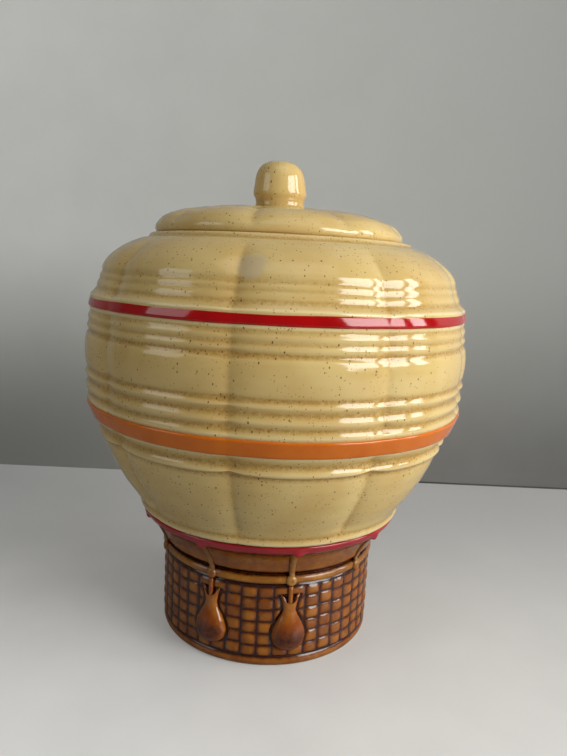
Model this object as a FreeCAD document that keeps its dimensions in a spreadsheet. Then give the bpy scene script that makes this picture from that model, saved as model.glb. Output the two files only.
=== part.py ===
"""Biscuit jar in the shape of a hot-air balloon: glazed earthenware, in millimetres.

The jar stands on its foot ring at z = 0, its axis is the Z axis and its front is at -Y.
A ribbed cream balloon of nine puffed gores, with three enamel bands, sits on a brown
woven basket, and a lid with a bell-shaped knob closes its mouth.
"""
import FreeCAD, Part
import math
import os
import re
import Sketcher

# Each size is named and written once.  Heights are above the table, radii from the axis.
SIZES = {
    # basket, from the foot up
    "foot_width": 6.0,
    "foot_recess": 3.0,
    "foot_bevel": 1.5,
    "floor_height": 10.0,
    "wall": 5.0,
    "basket_radius": 59.3,
    "base_inset": 0.5,
    "base_band": 5.2,
    "weave_base": 5.8,
    "weave_rows": 6,
    "weave_row": 6.45,
    "weave_columns": 45,
    "weave_turn": -73.5,
    "weave_groove": 1.5,
    "weave_relief": 1.0,
    "weave_backing": 1.7,
    "rail_height": 5.0,
    "rail_gap": 0.7,
    "rail_rise": 1.6,
    "rail_bulge": 1.0,
    "skirt_height": 15.1,
    "skirt_step": 0.5,
    "skirt_flare": 10.3,
    "skirt_hollow": 1.4,
    # ropes with their knots, and the sandbags
    "rope_count": 9,
    "rope_turn": -77.5,
    "rope_top_width": 4.6,
    "rope_foot_width": 2.8,
    "rope_rise": 1.2,
    "knot_radius": 3.0,
    "knot_rise": 1.3,
    "bag_drop": 8.5,
    "bag_height": 30.0,
    "bag_radius": 8.2,
    "bag_belly_height": 8.8,
    "bag_neck_radius": 2.8,
    "bag_neck_drop": 8.5,
    "bag_ear_radius": 4.9,
    "bag_notch": 4.5,
    "bag_sink": 3.0,
    "bag_clearance": 0.15,
    "string_radius": 1.2,
    # balloon, with its radii at the crest of a gore
    "crimson_height": 4.5,
    "crimson_flare": 2.6,
    "crimson_depth": 2.4,
    "lip_height": 8.5,
    "lip_step": 3.3,
    "gore_count": 9,
    "gore_turn": -81.0,
    "gore_offset": 25.0,
    "panel_step": 4.2,
    "panel_height": 36.9,
    "panel_inset": 9.6,
    "panel_bow": 2.0,
    "belly_radius": 102.5,
    "belly_height": 19.2,
    "belly_bow": 1.3,
    "shoulder_height": 18.0,
    "shoulder_inset": 8.0,
    "shoulder_bow": 2.4,
    "collar_height": 2.4,
    "collar_width": 15.0,
    "collar_step": 2.5,
    "mouth_radius": 55.0,
    "mouth_depth": 5.5,
    # ribs that run round the gores beside the bands
    "rib_rise": 0.7,
    "panel_rib": 5.6,
    "shade_gap": 5.0,
    "lower_rib": 6.6,
    "upper_rib": 5.6,
    "shoulder_rib": 4.3,
    "band_lip": 4.0,
    # enamel bands, each let into the wall
    "orange_height": 8.4,
    "orange_low_inset": 3.9,
    "orange_high_inset": 1.2,
    "red_height": 5.5,
    "red_inset": 2.1,
    "band_proud": 0.6,
    "band_depth": 3.6,
    # lid
    "lid_overlap": 11.3,
    "lid_rim_height": 4.6,
    "lid_rim_inset": 1.6,
    "lid_brow_inset": 6.6,
    "lid_brow_height": 9.7,
    "lid_crown_radius": 27.0,
    "lid_crown_height": 14.7,
    "lid_bow": 1.3,
    "lid_height": 15.4,
    "lid_gore_offset": 18.0,
    "lid_thickness": 5.5,
    "flange_clearance": 1.7,
    "flange_depth": 12.0,
    "flange_width": 4.8,
    "knob_height": 25.4,
    "neck_radius": 13.0,
    "neck_height": 5.6,
    "knob_radius": 14.2,
    "knob_lip_height": 8.6,
    "crown_radius": 12.5,
    "crown_height": 18.6,
}

# The ropes that carry a sandbag, counted round from the one at the front.
BAG_ROPES = (0, 4, 5, 8)

document = FreeCAD.newDocument("BiscuitJar")
sheet = document.addObject("Spreadsheet::Sheet", "Sizes")
for row, (alias, value) in enumerate(SIZES.items(), 1):
    sheet.set(f"A{row}", alias)
    sheet.set(f"B{row}", str(value))
    sheet.setAlias(f"B{row}", alias)
document.recompute()

# Places that several pieces share, as expressions of the sizes: heights from the foot up, then radii.
WEAVE_TOP = "(weave_base+weave_rows*weave_row)"
RAIL_BASE = f"({WEAVE_TOP}+rail_gap)"
RAIL_TOP = f"({RAIL_BASE}+rail_height)"
KNOT_HEIGHT = f"({RAIL_BASE}+rail_height/2)"
BAG_TOP = f"({KNOT_HEIGHT}-bag_drop)"
SKIRT_FOOT = f"({RAIL_TOP}+rail_gap)"
BASKET_TOP = f"({SKIRT_FOOT}+skirt_height)"
CRIMSON_TOP = f"({BASKET_TOP}+crimson_height)"
PANEL_BASE = f"({BASKET_TOP}+lip_height)"
PANEL_TOP = f"({PANEL_BASE}+panel_height)"
ORANGE_BASE = f"({PANEL_TOP}+panel_rib+shade_gap)"
ORANGE_TOP = f"({ORANGE_BASE}+orange_height)"
BELLY_BASE = f"({ORANGE_TOP}+band_lip+2*lower_rib)"
BELLY_TOP = f"({BELLY_BASE}+belly_height)"
RED_BASE = f"({BELLY_TOP}+2*upper_rib)"
RED_TOP = f"({RED_BASE}+red_height)"
SHOULDER_BASE = f"({RED_TOP}+band_lip+2*shoulder_rib)"
SHOULDER_TOP = f"({SHOULDER_BASE}+shoulder_height)"
JAR_TOP = f"({SHOULDER_TOP}+collar_height)"
CORE_RADIUS = "(basket_radius-weave_backing)"
SKIRT_FOOT_RADIUS = "(basket_radius+skirt_step)"
SKIRT_RADIUS = "(basket_radius+skirt_flare)"
CRIMSON_SEAT = f"({SKIRT_RADIUS}-crimson_depth)"
THROAT_RADIUS = f"({CRIMSON_SEAT}-wall)"
PANEL_RADIUS = "(belly_radius-panel_inset)"
ORANGE_LOW_RADIUS = "(belly_radius-orange_low_inset)"
ORANGE_HIGH_RADIUS = "(belly_radius-orange_high_inset)"
RED_RADIUS = "(belly_radius-red_inset)"
SHOULDER_RADIUS = "(belly_radius-shoulder_inset)"
COLLAR_RADIUS = "(mouth_radius+collar_width)"
LID_RADIUS = "(mouth_radius+lid_overlap)"
BROW_RADIUS = f"({LID_RADIUS}-lid_brow_inset)"
FLANGE_RADIUS = "(mouth_radius-flange_clearance)"
FLANGE_BORE = f"({FLANGE_RADIUS}-flange_width)"
SECTOR = "(180/gore_count)"


def bound(text):
    """Write an expression of size names as one that reads the sheet."""
    return re.sub(r"[a-z_]+", lambda word: f"Sizes.{word[0]}" if word[0] in SIZES else word[0], text)


def size(text):
    """Give the present value of an expression."""
    return float(sheet.evalExpression(text))


def bind(thing, **sizes):
    """Tie properties to expressions of the sheet; a double underscore stands for a dot."""
    for name, text in sizes.items():
        thing.setExpression(name.replace("__", "."), bound(text))


def valley(radius):
    """Expression for the radius of the crease between gores whose crests have this radius."""
    reach = f"sqrt(({radius}-gore_offset)^2-(gore_offset*sin({SECTOR}))^2)"
    return f"(gore_offset*cos({SECTOR})+{reach})"


def new_body(name):
    body = document.addObject("PartDesign::Body", name)
    body.Label = name
    return body


def origin_part(body, role):
    return next(part for part in body.Origin.OriginFeatures if part.Role == role)


def turn_about_axis(thing, turn):
    """Turn a finished piece about the jar's axis."""
    thing.Placement = FreeCAD.Placement(FreeCAD.Vector(), FreeCAD.Rotation(FreeCAD.Vector(0, 0, 1), size(turn)))
    bind(thing, Placement__Rotation__Angle=turn)


def new_sketch(body, name, plane):
    sketch = body.newObject("Sketcher::SketchObject", name)
    sketch.AttachmentSupport = [(origin_part(body, plane), "")]
    sketch.MapMode = "FlatFace"
    return sketch


def pin(sketch, edge, end, across, up):
    """Hold one end of a sketch edge at a place given by two expressions."""
    for kind, axis, text in (("DistanceX", -2, across), ("DistanceY", -1, up)):
        value = size(text)
        if value == 0:
            sketch.addConstraint(Sketcher.Constraint("PointOnObject", edge, end, axis))
        else:
            index = sketch.addConstraint(Sketcher.Constraint(kind, edge, end, value))
            sketch.setExpression(f"Constraints[{index}]", bound(text))


def outline(body, name, corners, plane="XZ_Plane"):
    """Sketch a closed outline of straight runs through corners given as across and up."""
    sketch = new_sketch(body, name, plane)
    places = [FreeCAD.Vector(size(across), size(up), 0) for across, up in corners]
    count = len(corners)
    for index, start in enumerate(places):
        sketch.addGeometry(Part.LineSegment(start, places[(index + 1) % count]))
    for index, (across, up) in enumerate(corners):
        sketch.addConstraint(Sketcher.Constraint("Coincident", index, 2, (index + 1) % count, 1))
        pin(sketch, index, 1, across, up)
    return sketch


def bowed(start, end, across, up, runs):
    """Corners from one place up to another, bowed between them by these amounts at most."""
    corners = []
    for step in range(runs):
        share = step / runs
        rise = 4 * share * (1 - share)
        places = zip(start, end, (across, up))
        corners.append([f"({a}*{1 - share:.4f}+{b}*{share:.4f}+{bow}*{rise:.4f})" for a, b, bow in places])
    return corners


def rounded(upright, level, runs):
    """Corners of a quarter ellipse, from where it runs upright to where it runs level."""
    corners = []
    for step in range(runs + 1):
        angle = math.pi / 2 * step / runs
        across = f"({level[0]}+({upright[0]}-{level[0]})*{math.cos(angle):.4f})"
        up = f"({upright[1]}+({level[1]}-{upright[1]})*{math.sin(angle):.4f})"
        corners.append((across, up))
    return corners


def spin(body, kind, name, corners, axis_at=None, angle=360):
    """Revolve an outline about the V axis, or about an upright line beside it, to add or cut."""
    sketch = outline(body, name + "_outline", corners)
    axis = "V_Axis"
    if axis_at:
        line = Part.LineSegment(FreeCAD.Vector(size(axis_at), 1, 0), FreeCAD.Vector(size(axis_at), 2, 0))
        index = sketch.addGeometry(line, True)
        pin(sketch, index, 1, axis_at, "1")
        pin(sketch, index, 2, axis_at, "2")
        axis = "Axis0"
    feature = body.newObject("PartDesign::" + kind, name)
    feature.Profile = sketch
    feature.ReferenceAxis = (sketch, [axis])
    feature.Angle = angle
    feature.Midplane = angle < 360
    document.recompute()
    return feature


def pattern_round(body, name, count):
    """Repeat all of the body so far round its axis."""
    pattern = body.newObject("PartDesign::PolarPattern", name)
    pattern.TransformMode = "Whole shape"
    pattern.Axis = (origin_part(body, "Z_Axis"), [""])
    pattern.Angle = 360
    bind(pattern, Occurrences=count)
    body.Tip = pattern
    document.recompute()
    return pattern


def cut_through(body, name, sketch):
    """Pocket a sketch right through, both ways."""
    pocket = body.newObject("PartDesign::Pocket", name)
    pocket.Profile = sketch
    pocket.Type = "ThroughAll"
    pocket.Midplane = True
    document.recompute()
    return pocket


def add_gores(body, name, corners, offset):
    """Make puffed gores: each is turned about an axis of its own, nearer its crest than the jar's."""
    spin(body, "Revolution", name, corners, axis_at=offset, angle=100)
    reach = "(3*belly_radius)"
    side = (f"{reach}*cos({SECTOR})", f"{reach}*sin({SECTOR})")
    corners = [
        ("0", "0"),
        side,
        ("0", f"2*{reach}"),
        (f"-{reach}", "0"),
        ("0", f"-2*{reach}"),
        (side[0], "-" + side[1]),
    ]
    cut_through(body, name + "_sector", outline(body, name + "_sector_outline", corners, "XY_Plane"))
    pattern_round(body, name + "_round", "gore_count")


def make_envelope():
    """The balloon: ribbed gores, a collar round the mouth and a hollow for biscuits."""
    body = new_body("envelope")
    panel_foot = (f"({SKIRT_RADIUS}+panel_step)", PANEL_BASE)
    ledge = f"({PANEL_RADIUS}+{ORANGE_LOW_RADIUS})/2"
    belly_foot = ("(belly_radius-rib_rise)", BELLY_BASE)
    belly_head = ("(belly_radius-rib_rise)", BELLY_TOP)
    slope = f"({RED_RADIUS}+2*{SHOULDER_RADIUS})/3"
    shoulder_head = (f"({COLLAR_RADIUS}+collar_step)", SHOULDER_TOP)
    gore = [
        ("gore_offset", PANEL_BASE),
        *bowed(panel_foot, (PANEL_RADIUS, PANEL_TOP), "panel_bow", "0", 2),
        (PANEL_RADIUS, PANEL_TOP),
        (ledge, f"{PANEL_TOP}+panel_rib/2"),
        (f"{ledge}-rib_rise", f"{PANEL_TOP}+panel_rib"),
        (ORANGE_LOW_RADIUS, ORANGE_BASE),
        (f"{ORANGE_HIGH_RADIUS}-rib_rise", ORANGE_TOP),
        ("belly_radius", f"{ORANGE_TOP}+band_lip+lower_rib/2"),
        ("belly_radius-2*rib_rise", f"{BELLY_BASE}-lower_rib"),
        ("belly_radius", f"{BELLY_BASE}-lower_rib/2"),
        *bowed(belly_foot, belly_head, "belly_bow", "0", 2),
        belly_head,
        ("belly_radius", f"{BELLY_TOP}+upper_rib/2"),
        (RED_RADIUS, f"{BELLY_TOP}+upper_rib"),
        (f"{RED_RADIUS}+rib_rise", f"{BELLY_TOP}+1.5*upper_rib"),
        (f"{RED_RADIUS}-rib_rise", RED_BASE),
        (f"{RED_RADIUS}-rib_rise", RED_TOP),
        (slope, f"{RED_TOP}+band_lip"),
        (f"{slope}+rib_rise", f"{RED_TOP}+band_lip+shoulder_rib/2"),
        (f"{SHOULDER_RADIUS}+rib_rise", f"{SHOULDER_BASE}-shoulder_rib"),
        (f"{SHOULDER_RADIUS}+2*rib_rise", f"{SHOULDER_BASE}-shoulder_rib/2"),
        *bowed((SHOULDER_RADIUS, SHOULDER_BASE), shoulder_head, "shoulder_bow", "shoulder_bow", 3),
        shoulder_head,
        ("gore_offset", SHOULDER_TOP),
    ]
    add_gores(body, "gores", gore, "gore_offset")
    collar = [
        ("mouth_radius-wall", f"{SHOULDER_TOP}-mouth_depth"),
        (COLLAR_RADIUS, f"{SHOULDER_TOP}-mouth_depth"),
        (COLLAR_RADIUS, JAR_TOP),
        ("mouth_radius-wall", JAR_TOP),
    ]
    spin(body, "Revolution", "collar", collar)
    lip_radius = f"({SKIRT_RADIUS}+lip_step)"
    lip = [
        (f"{THROAT_RADIUS}-wall", BASKET_TOP),
        (CRIMSON_SEAT, BASKET_TOP),
        (CRIMSON_SEAT, CRIMSON_TOP),
        (lip_radius, CRIMSON_TOP),
        (lip_radius, PANEL_BASE),
        (THROAT_RADIUS, f"{PANEL_BASE}+{lip_radius}-{THROAT_RADIUS}"),
        (f"{THROAT_RADIUS}-wall", PANEL_BASE),
    ]
    spin(body, "Revolution", "lip", lip)
    hollow = [
        ("0", f"{BASKET_TOP}-wall"),
        (THROAT_RADIUS, f"{BASKET_TOP}-wall"),
        (THROAT_RADIUS, BASKET_TOP),
        (f"{valley(PANEL_RADIUS)}-wall", PANEL_TOP),
        (f"{valley('belly_radius')}-wall", BELLY_BASE),
        (f"{valley('belly_radius')}-wall", BELLY_TOP),
        (f"{valley(SHOULDER_RADIUS)}-wall", SHOULDER_BASE),
        (f"{COLLAR_RADIUS}+wall/2", f"{JAR_TOP}-mouth_depth-wall"),
        ("mouth_radius", f"{JAR_TOP}-mouth_depth"),
        ("mouth_radius", f"{JAR_TOP}+wall"),
        ("0", f"{JAR_TOP}+wall"),
    ]
    spin(body, "Groove", "hollow", hollow)
    seats = (
        ("red_seat", RED_RADIUS, RED_BASE, RED_TOP),
        ("orange_seat", ORANGE_LOW_RADIUS, ORANGE_BASE, ORANGE_TOP),
    )
    for name, radius, low, high in seats:
        seat = [
            (f"{radius}-band_depth", low),
            (f"{radius}+2*band_depth", low),
            (f"{radius}+2*band_depth", high),
            (f"{radius}-band_depth", high),
        ]
        spin(body, "Groove", name, seat)
    turn_about_axis(body, "gore_turn")
    return body


def make_band(name, seat_radius, low_edge, high_edge):
    """A hoop of enamel that fills its seat; its outer edges are given as across and up."""
    body = new_body(name)
    corners = [(seat_radius, low_edge[1]), low_edge, high_edge, (seat_radius, high_edge[1])]
    spin(body, "Revolution", name + "_hoop", corners)
    return body


def make_basket():
    """The basket: a turned core with foot, floor and flared skirt, and woven squares round it."""
    core = new_body("basket_core")
    base_radius = "(basket_radius-base_inset)"
    foot_radius = f"({base_radius}-foot_bevel)"
    bore = f"({CORE_RADIUS}-wall)"
    corners = [
        ("0", "foot_recess"),
        (f"{foot_radius}-foot_width", "foot_recess"),
        (f"{foot_radius}-foot_width", "0"),
        (foot_radius, "0"),
        (base_radius, "foot_bevel"),
        (base_radius, "base_band"),
        (CORE_RADIUS, "base_band"),
        (CORE_RADIUS, SKIRT_FOOT),
        *bowed((SKIRT_FOOT_RADIUS, SKIRT_FOOT), (SKIRT_RADIUS, BASKET_TOP), "-skirt_hollow", "0", 2),
        (SKIRT_RADIUS, BASKET_TOP),
        (THROAT_RADIUS, BASKET_TOP),
        (bore, SKIRT_FOOT),
        (bore, "floor_height"),
        ("0", "floor_height"),
    ]
    spin(core, "Revolution", "core", corners)

    weave = new_body("weave")
    half = "(180/weave_columns)"
    groove = "(basket_radius-weave_relief)"
    root = f"({CORE_RADIUS}-wall/4)"
    face = f"(basket_radius*tan({half})-weave_groove/2)"
    plan = [
        (root, f"-{root}*tan({half})"),
        (groove, f"-{groove}*tan({half})"),
        ("basket_radius", f"-{face}"),
        ("basket_radius", face),
        (groove, f"{groove}*tan({half})"),
        (root, f"{root}*tan({half})"),
    ]
    sketch = outline(weave, "column_plan", plan, "XY_Plane")
    bind(sketch, AttachmentOffset__Base__z="weave_base")
    column = weave.newObject("PartDesign::Pad", "column")
    column.Profile = sketch
    bind(column, Length="weave_rows*weave_row")
    document.recompute()
    notch = [
        (groove, "weave_base+weave_row"),
        ("basket_radius+weave_relief", "weave_base+weave_row-weave_groove"),
        ("basket_radius+weave_relief", "weave_base+weave_row+weave_groove"),
    ]
    cut = cut_through(weave, "notch", outline(weave, "notch_outline", notch))
    rows = weave.newObject("PartDesign::LinearPattern", "rows")
    rows.Originals = [cut]
    rows.Direction = (origin_part(weave, "Z_Axis"), [""])
    bind(rows, Length="(weave_rows-2)*weave_row", Occurrences="weave_rows-1")
    weave.Tip = rows
    document.recompute()
    pattern_round(weave, "columns", "weave_columns")
    turn_about_axis(weave, "weave_turn")

    basket = document.addObject("Part::Fuse", "basket")
    basket.Label = "basket"
    basket.Base = core
    basket.Tool = weave
    basket.Refine = True
    return basket, core


def make_rail():
    """The rope rail that runs round the basket's top."""
    rail = new_body("rope_rail")
    corners = [
        (CORE_RADIUS, RAIL_BASE),
        (f"{CORE_RADIUS}+rail_rise", RAIL_BASE),
        (f"{CORE_RADIUS}+rail_rise+rail_bulge", KNOT_HEIGHT),
        (f"{CORE_RADIUS}+rail_rise", RAIL_TOP),
        (CORE_RADIUS, RAIL_TOP),
    ]
    spin(rail, "Revolution", "rail", corners)
    return rail


def copies_round(name, source, steps):
    """Stand copies of a piece round the axis, at whole steps from the rope at the front."""
    document.recompute()
    copies = []
    for step in steps:
        shape = source.Shape.copy()
        turn = size("rope_turn") + step * 360 / size("rope_count")
        shape.rotate(FreeCAD.Vector(), FreeCAD.Vector(0, 0, 1), turn)
        copies.append(shape)
    group = document.addObject("Part::Feature", name)
    group.Label = name
    group.Shape = Part.makeCompound(copies)
    return group


def trim(name, piece, *tools):
    """Cut away what lies inside the pieces that this one is laid on."""
    for number, tool in enumerate(tools):
        cut = document.addObject("Part::Cut", f"{name}_{number}")
        cut.Base = piece
        cut.Tool = tool
        piece = cut
    return piece


def make_ropes(core, rail):
    """Ropes drawn tight down the skirt, each to a knot on the rail."""
    rail_face = f"({CORE_RADIUS}+rail_rise+rail_bulge)"
    bed = f"({CORE_RADIUS}+rail_rise/2)"
    strap = document.addObject("Part::Wedge", "strap")
    strap.Placement = FreeCAD.Placement(
        FreeCAD.Vector(), FreeCAD.Rotation(FreeCAD.Vector(1, 1, 1), 120)
    )
    bind(
        strap,
        Ymin=KNOT_HEIGHT,
        Ymax=BASKET_TOP,
        Xmin="-rope_foot_width/2",
        Xmax="rope_foot_width/2",
        X2min="-rope_top_width/2",
        X2max="rope_top_width/2",
        Zmin=bed,
        Zmax=f"{rail_face}+rope_rise/2",
        Z2min=f"{THROAT_RADIUS}+wall/4",
        Z2max=f"{SKIRT_RADIUS}+rope_rise",
    )
    knot = document.addObject("Part::Cylinder", "knot")
    knot.Placement = FreeCAD.Placement(
        FreeCAD.Vector(1, 0, 1), FreeCAD.Rotation(FreeCAD.Vector(0, 1, 0), 90)
    )
    bind(
        knot,
        Radius="knot_radius",
        Height=f"{rail_face}+knot_rise-{bed}",
        Placement__Base__x=bed,
        Placement__Base__z=KNOT_HEIGHT,
    )
    rope = document.addObject("Part::Fuse", "rope")
    rope.Base = strap
    rope.Tool = knot
    steps = range(round(size("rope_count")))
    return copies_round("rope_straps", trim("rope_laid", rope, core, rail), steps)


def make_sandbags():
    """Pear-shaped sandbags in relief, each hung by its string from a knot."""
    bag = new_body("bag")
    base = f"({BAG_TOP}-bag_height)"
    belly = ("bag_radius", f"({base}+bag_belly_height)")
    pear = [
        *reversed(rounded(belly, ("0", base), 3)),
        ("bag_neck_radius", f"{BAG_TOP}-bag_neck_drop"),
        ("bag_ear_radius", BAG_TOP),
        ("0", BAG_TOP),
    ]
    spin(bag, "Revolution", "pear", pear)
    ears = [
        ("0", f"{BAG_TOP}-bag_notch"),
        ("bag_ear_radius", f"{BAG_TOP}+bag_notch/2"),
        ("-bag_ear_radius", f"{BAG_TOP}+bag_notch/2"),
    ]
    cut_through(bag, "ears", outline(bag, "ears_outline", ears, "YZ_Plane"))
    bag.Placement = FreeCAD.Placement(FreeCAD.Vector(1, 0, 0), FreeCAD.Rotation())
    bind(bag, Placement__Base__x="basket_radius-bag_sink")
    string = document.addObject("Part::Cylinder", "string")
    foot = f"({BAG_TOP}-bag_neck_drop-bag_notch)"
    bind(
        string,
        Radius="string_radius",
        Height=f"{KNOT_HEIGHT}-knot_radius-bag_clearance-{foot}",
        Placement__Base__x="basket_radius+string_radius/2",
        Placement__Base__z=foot,
    )
    hung = document.addObject("Part::Fuse", "hung_bag")
    hung.Base = bag
    hung.Tool = string
    backing = document.addObject("Part::Cylinder", "backing")
    bind(backing, Radius="basket_radius+bag_clearance", Height=BASKET_TOP)
    return copies_round("sandbags", trim("bag_laid", hung, backing), BAG_ROPES)


def make_lid():
    """The lid: a lobed dome with a round rim, a bell-shaped knob and a flange that drops in."""
    lid = new_body("lid")
    rim_top = f"({JAR_TOP}+lid_rim_height)"
    brow = f"({JAR_TOP}+lid_brow_height)"
    dome_top = f"({JAR_TOP}+lid_crown_height)"
    crown = f"({JAR_TOP}+lid_height)"
    gore = [
        ("lid_gore_offset", f"{JAR_TOP}+lid_rim_inset"),
        (f"{LID_RADIUS}-lid_rim_inset", f"{JAR_TOP}+lid_rim_inset"),
        (f"{LID_RADIUS}-lid_rim_inset", f"{rim_top}+lid_rim_inset/2"),
        *bowed((BROW_RADIUS, brow), ("lid_crown_radius", dome_top), "0", "lid_bow", 2),
        ("lid_crown_radius", dome_top),
        ("lid_gore_offset", dome_top),
    ]
    add_gores(lid, "dome", gore, "lid_gore_offset")
    turned = [
        ("0", f"{brow}-lid_thickness"),
        (FLANGE_BORE, f"{brow}-lid_thickness"),
        (FLANGE_BORE, f"{JAR_TOP}-flange_depth"),
        (FLANGE_RADIUS, f"{JAR_TOP}-flange_depth"),
        (FLANGE_RADIUS, JAR_TOP),
        (LID_RADIUS, JAR_TOP),
        (LID_RADIUS, rim_top),
        (f"{LID_RADIUS}-lid_rim_inset", f"{rim_top}+lid_rim_inset/2"),
        (f"{BROW_RADIUS}-lid_rim_inset", f"{brow}-lid_rim_inset"),
        ("lid_crown_radius+lid_rim_inset", dome_top),
        ("neck_radius+lid_rim_inset", crown),
        ("neck_radius", f"{crown}+lid_rim_inset/2"),
        ("neck_radius", f"{crown}+neck_height"),
        ("knob_radius", f"{crown}+knob_lip_height"),
        *rounded(("crown_radius", f"({crown}+crown_height)"), ("0", f"({crown}+knob_height)"), 3),
    ]
    spin(lid, "Revolution", "rim_and_knob", turned)
    hollow = [
        ("0", f"{JAR_TOP}-2*flange_depth"),
        (FLANGE_BORE, f"{JAR_TOP}-2*flange_depth"),
        (FLANGE_BORE, f"{brow}-lid_thickness"),
        ("lid_crown_radius", f"{dome_top}-lid_thickness"),
        ("0", f"{dome_top}-lid_thickness"),
    ]
    spin(lid, "Groove", "hollow_under", hollow)
    return lid


def check(pieces):
    """Stop on any failed object, and on a piece with no sound solid."""
    for thing in document.Objects:
        if {"Invalid", "Error"} & set(thing.State):
            raise RuntimeError(f"{thing.Label} did not build")
    for piece in pieces:
        shape = piece.Shape
        if shape.isNull() or not shape.isValid() or not shape.Solids or shape.Volume <= 0:
            raise RuntimeError(f"{piece.Label} has no sound solid")


envelope = make_envelope()
red_edge = f"{RED_RADIUS}+band_proud"
red_band = make_band("red_band", f"{RED_RADIUS}-band_depth", (red_edge, RED_BASE), (red_edge, RED_TOP))
orange_band = make_band(
    "orange_band",
    f"{ORANGE_LOW_RADIUS}-band_depth",
    (f"{ORANGE_LOW_RADIUS}+band_proud", ORANGE_BASE),
    (f"{ORANGE_HIGH_RADIUS}+band_proud", ORANGE_TOP),
)
crimson_line = make_band(
    "crimson_line",
    CRIMSON_SEAT,
    (SKIRT_RADIUS, BASKET_TOP),
    (f"{SKIRT_RADIUS}+crimson_flare", CRIMSON_TOP),
)
basket, core = make_basket()
rope_rail = make_rail()
rope_straps = make_ropes(core, rope_rail)
sandbags = make_sandbags()
lid = make_lid()

document.recompute()
pieces = (
    envelope,
    red_band,
    orange_band,
    crimson_line,
    basket,
    rope_rail,
    rope_straps,
    sandbags,
    lid,
)
check(pieces)
os.makedirs("parts", exist_ok=True)
for piece in pieces:
    piece.Shape.exportStep(f"parts/{piece.Label}.step")
    print(f"{piece.Label}: {len(piece.Shape.Solids)} solid, {piece.Shape.Volume / 1000:.1f} cm3")
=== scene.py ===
"""Biscuit jar in the shape of a hot-air balloon: slip-cast earthenware under gloss glazes.

The jar stands on z = 0, its axis is the Z axis and its front is at -Y.  Outlines are drawn in
millimetres and meshes are in metres.  A compass angle is counted in degrees from the front
towards +X.
"""
import math

import bpy
import numpy as np
from bpy.props import FloatProperty, PointerProperty, StringProperty
from mathutils import Matrix, Vector


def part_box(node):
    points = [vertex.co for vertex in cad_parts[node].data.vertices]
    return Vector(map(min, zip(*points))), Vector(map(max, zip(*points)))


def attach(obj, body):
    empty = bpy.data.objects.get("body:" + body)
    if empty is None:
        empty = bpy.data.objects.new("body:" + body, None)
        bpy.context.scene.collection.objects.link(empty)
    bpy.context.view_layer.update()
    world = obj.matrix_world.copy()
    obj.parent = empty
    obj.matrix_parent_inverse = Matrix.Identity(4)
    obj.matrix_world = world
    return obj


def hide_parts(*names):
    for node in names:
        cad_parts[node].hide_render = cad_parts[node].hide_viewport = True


bl_info = {
    "name": "Balloon biscuit jar",
    "version": (1, 0, 0),
    "blender": (4, 5, 0),
    "location": "3D View > Sidebar > Biscuit jar",
    "description": "Builds a glazed hot-air-balloon biscuit jar with its basket, sandbags and lid",
    "category": "Add Mesh",
}

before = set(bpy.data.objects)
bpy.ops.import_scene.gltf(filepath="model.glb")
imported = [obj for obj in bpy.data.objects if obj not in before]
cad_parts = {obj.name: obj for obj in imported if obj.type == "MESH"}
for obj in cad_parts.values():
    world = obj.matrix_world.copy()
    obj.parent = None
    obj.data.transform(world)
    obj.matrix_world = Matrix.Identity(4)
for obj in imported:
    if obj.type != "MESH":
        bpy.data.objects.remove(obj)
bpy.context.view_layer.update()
MM = 0.001


# Places that come from the frame


def heights_mm(node):
    """Lowest and highest point of a CAD node."""
    low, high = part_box(node)
    return low[2] / MM, high[2] / MM


def reach_mm(node):
    """Farthest that a CAD node reaches from the axis along X or Y."""
    low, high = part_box(node)
    return max(high[0], high[1], -low[0], -low[1]) / MM


BASKET_TOP = heights_mm("basket")[1]
CRIMSON_TOP = heights_mm("crimson_line")[1]
ORANGE_BASE, ORANGE_TOP = heights_mm("orange_band")
RED_BASE, RED_TOP = heights_mm("red_band")
RAIL_BASE, RAIL_TOP = heights_mm("rope_rail")
JAR_TOP = heights_mm("envelope")[1]
LID_TOP = heights_mm("lid")[1]
LID_RADIUS = reach_mm("lid")
RED_RADIUS = reach_mm("red_band")
ORANGE_RADIUS = reach_mm("orange_band")
CRIMSON_RADIUS = reach_mm("crimson_line")
BAG_BASE, STRING_TOP = heights_mm("sandbags")

GORES = 9
GORE_MIDDLE = 9.0
GORE_HALF = 180 / GORES
ROPE_FRONT = 12.5
ROPE_STEP = 360 / GORES
WEAVE_COLUMNS = 45
WEAVE_ROWS = 6
WEAVE_BASE = 5.8
WEAVE_ROW = 6.45
WEAVE_TOP = WEAVE_BASE + WEAVE_ROWS * WEAVE_ROW
BAG_ROPES = (0, 4, 5, 8)
LID_SHIFT = 1.3


# Surfaces


def rounded_run(corners, spacing, softness):
    """Places at an even spacing along straight runs through the corners.

    Each place is the mean of its neighbours under a raised-cosine window as long as softness
    on either side, which turns every corner into a small round.
    """
    corners = np.asarray(corners, float)
    reach = np.concatenate([[0], np.cumsum(np.hypot(*np.diff(corners, axis=0).T))])
    fine = np.arange(0, reach[-1], 0.1)
    line = np.column_stack([np.interp(fine, reach, corners[:, k]) for k in (0, 1)])
    half = max(1, round(softness / 0.1))
    window = np.hanning(2 * half + 3)[1:-1]
    window /= window.sum()
    padded = np.pad(line, ((half, half), (0, 0)), mode="reflect", reflect_type="odd")
    soft = np.column_stack([np.convolve(padded[:, k], window, "valid") for k in (0, 1)])
    count = max(2, round(reach[-1] / spacing)) + 1
    picks = np.linspace(0, len(soft) - 1, count).round().astype(int)
    return soft[picks]


def outward(line):
    """Unit normals of an outline, on the right of its direction of travel."""
    run = np.gradient(line, axis=0)
    normal = np.column_stack([run[:, 1], -run[:, 0]])
    return normal / np.maximum(np.linalg.norm(normal, axis=1, keepdims=True), 1e-9)


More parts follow.
